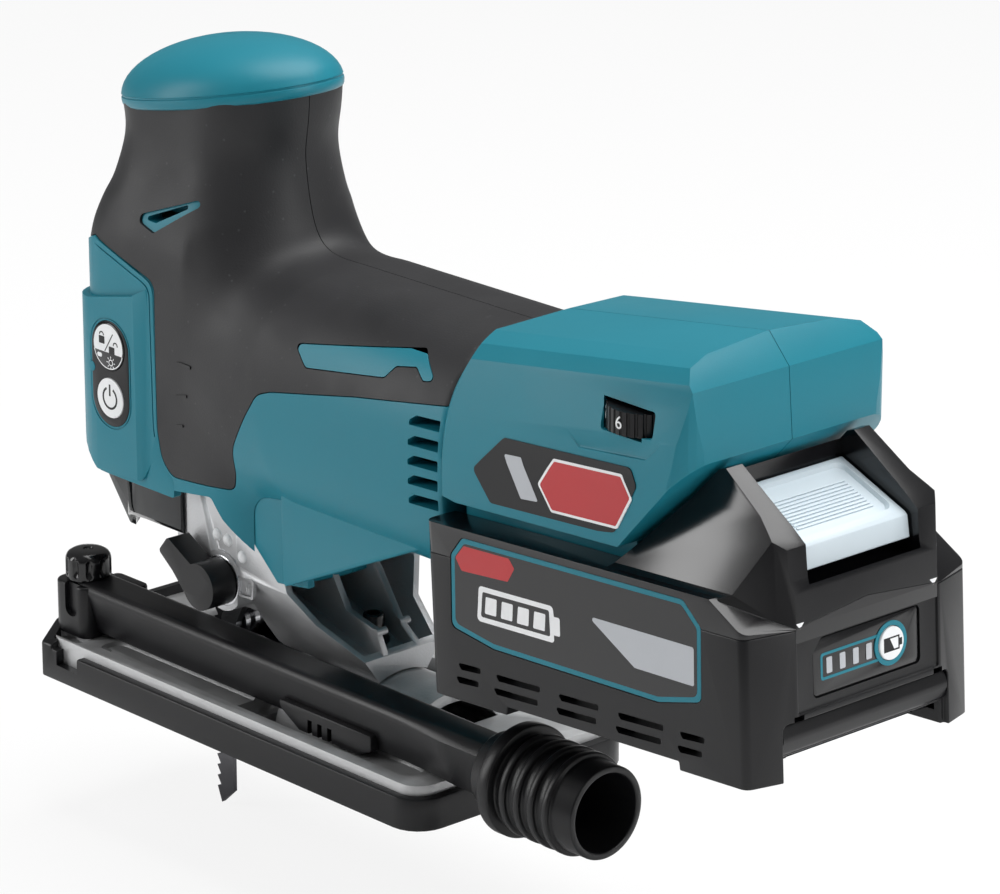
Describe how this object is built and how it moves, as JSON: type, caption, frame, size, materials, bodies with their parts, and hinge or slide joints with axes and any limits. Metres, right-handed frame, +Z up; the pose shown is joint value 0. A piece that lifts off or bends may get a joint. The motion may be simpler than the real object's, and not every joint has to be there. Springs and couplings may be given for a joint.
{
  "type": "cordless jigsaw",
  "caption": "Barrel-grip cordless jigsaw with a tilting base, a driven saw blade, a dust nozzle along the base and a slide-on battery at the rear.",
  "frame": {"origin": "centre of the sole's underside", "axes": "+X towards the battery at the rear, +Z up; -Y is the tool's left side"},
  "size_m": [0.2835, 0.0785, 0.2246],
  "materials": {
    "black_plastic": "fine matte texture",
    "cast_aluminium": "die cast, blasted",
    "steel": "machined",
    "bright_steel": "polished",
    "teal_plastic": "satin",
    "grip_rubber": "matte, finely speckled",
    "bronze": "sintered",
    "iron": "laminated",
    "copper": "enamelled wire",
    "black_gloss": "gloss",
    "white_plastic": "satin",
    "clear_plastic": "smoked, clear",
    "brass_metal": "stamped",
    "board": "varnished",
    "cell_wrap": "shrink sleeve",
    "grey_plastic": "satin"
  },
  "bodies": {
    "base": {"sole_cover": "black_plastic", "sole_plate": "cast_aluminium", "dust_nozzle": "black_plastic"},
    "body": {"bevel_saddle": "steel", "bevel_bolt": "steel", "housing_left": "teal_plastic", "housing_right": "teal_plastic", "grip_left": "grip_rubber", "grip_right": "grip_rubber", "housing_screws": "steel", "gear_housing": "cast_aluminium", "guide_bushes": "bronze", "motor_bearings": "steel", "gear_bearing": "steel", "stator": "iron", "stator_coils": "copper", "holder_pin": "steel", "front_cover": "teal_plastic", "switch_panel": "black_gloss", "work_light": "clear_plastic", "terminal_block": "black_plastic", "terminal_blades": "brass_metal", "control_board": "board"},
    "thumb_screw": {"nozzle_thumb_screw": "black_plastic"},
    "cuff": {"hose_cuff": "black_plastic"},
    "rotor": {"rotor_shaft": "steel", "rotor_core": "iron", "fan": "black_plastic"},
    "crank": {"drive_gear": "steel", "crank_pin": "steel"},
    "ram": {"plunger": "bright_steel", "yoke": "steel", "blade_clamp": "steel", "blade": "bright_steel"},
    "sleeve": {"clamp_sleeve": "black_plastic"},
    "roller_arm": {"roller_holder": "steel", "roller_pin": "steel"},
    "roller": {"blade_roller": "bright_steel"},
    "orbit": {"orbit_lever": "black_plastic"},
    "power": {"power_button": "white_plastic"},
    "light": {"light_button": "white_plastic"},
    "shield": {"dust_cover": "clear_plastic"},
    "dial": {"speed_dial": "black_plastic"},
    "battery": {"battery_lower_case": "black_plastic", "battery_upper_case": "black_gloss", "battery_cells": "cell_wrap", "cell_holders": "black_plastic", "battery_board": "board", "battery_contacts": "brass_metal", "charge_panel": "black_gloss"},
    "check": {"check_button": "white_plastic"},
    "release": {"release_button": "grey_plastic", "latch": "black_plastic"}
  },
  "joints": [
    {"name": "bevel_tilt", "type": "hinge", "parent": "base", "child": "body", "pos_m": [0, 0, 0], "axis": [-1, 0, 0], "range_deg": [-8, 45]},
    {"name": "thumb_screw_turn", "type": "hinge", "parent": "base", "child": "thumb_screw", "pos_m": [-0.072, -0.025, 0.03], "axis": [0, 0, 1], "range_deg": [-180, 180]},
    {"name": "cuff_swivel", "type": "hinge", "parent": "base", "child": "cuff", "pos_m": [0.12, -0.025, 0.0205], "axis": [1, 0, 0], "continuous": true},
    {"name": "rotor_spin", "type": "hinge", "parent": "body", "child": "rotor", "pos_m": [0.03, 0, 0.095], "axis": [1, 0, 0], "continuous": true},
    {"name": "crank_spin", "type": "hinge", "parent": "body", "child": "crank", "pos_m": [-0.022, 0, 0.1142], "axis": [1, 0, 0], "continuous": true},
    {"name": "ram_stroke", "type": "slide", "parent": "body", "child": "ram", "axis": [0, 0, 1], "range_m": [-0.013, 0.013]},
    {"name": "sleeve_turn", "type": "hinge", "parent": "ram", "child": "sleeve", "pos_m": [-0.0435, 0, 0.048], "axis": [0, 0, 1], "range_deg": [0, 60], "stiffness_Nm_per_rad": 0.05},
    {"name": "roller_arm_swing", "type": "hinge", "parent": "body", "child": "roller_arm", "pos_m": [-0.024, 0, 0.04], "axis": [0, 1, 0], "range_deg": [-4.5, 0]},
    {"name": "roller_spin", "type": "hinge", "parent": "roller_arm", "child": "roller", "pos_m": [-0.0353, 0, 0.019], "axis": [0, 1, 0], "continuous": true},
    {"name": "orbit_select", "type": "hinge", "parent": "body", "child": "orbit", "pos_m": [-0.0145, -0.03, 0.0413], "axis": [0, 1, 0], "range_deg": [0, 75]},
    {"name": "power_press", "type": "slide", "parent": "body", "child": "power", "axis": [0, 1, 0], "range_m": [0, 0.0006], "stiffness_N_per_m": 800},
    {"name": "light_press", "type": "slide", "parent": "body", "child": "light", "axis": [0, 1, 0], "range_m": [0, 0.0006], "stiffness_N_per_m": 800},
    {"name": "shield_slide", "type": "slide", "parent": "body", "child": "shield", "axis": [0, 0, 1], "range_m": [-0.009, 0]},
    {"name": "dial_turn", "type": "hinge", "parent": "body", "child": "dial", "pos_m": [0.152, -0.0266, 0.129], "axis": [0, 0, 1], "range_deg": [-225, 0]},
    {"name": "battery_slide", "type": "slide", "parent": "body", "child": "battery", "axis": [0.9981, 0, 0.061], "range_m": [0, 0.075]},
    {"name": "check_press", "type": "slide", "parent": "battery", "child": "check", "axis": [-0.9981, 0, -0.061], "range_m": [0, 0.0006], "stiffness_N_per_m": 600},
    {"name": "release_press", "type": "slide", "parent": "battery", "child": "release", "axis": [0.6814, 0, -0.7319], "range_m": [0, 0.004], "stiffness_N_per_m": 1200}
  ],
  "couplings": [
    {"joint": "crank_spin", "follows": "rotor_spin", "ratio": -0.2},
    {"joint": "roller_arm_swing", "follows": "orbit_select", "ratio": -0.06}
  ]
}
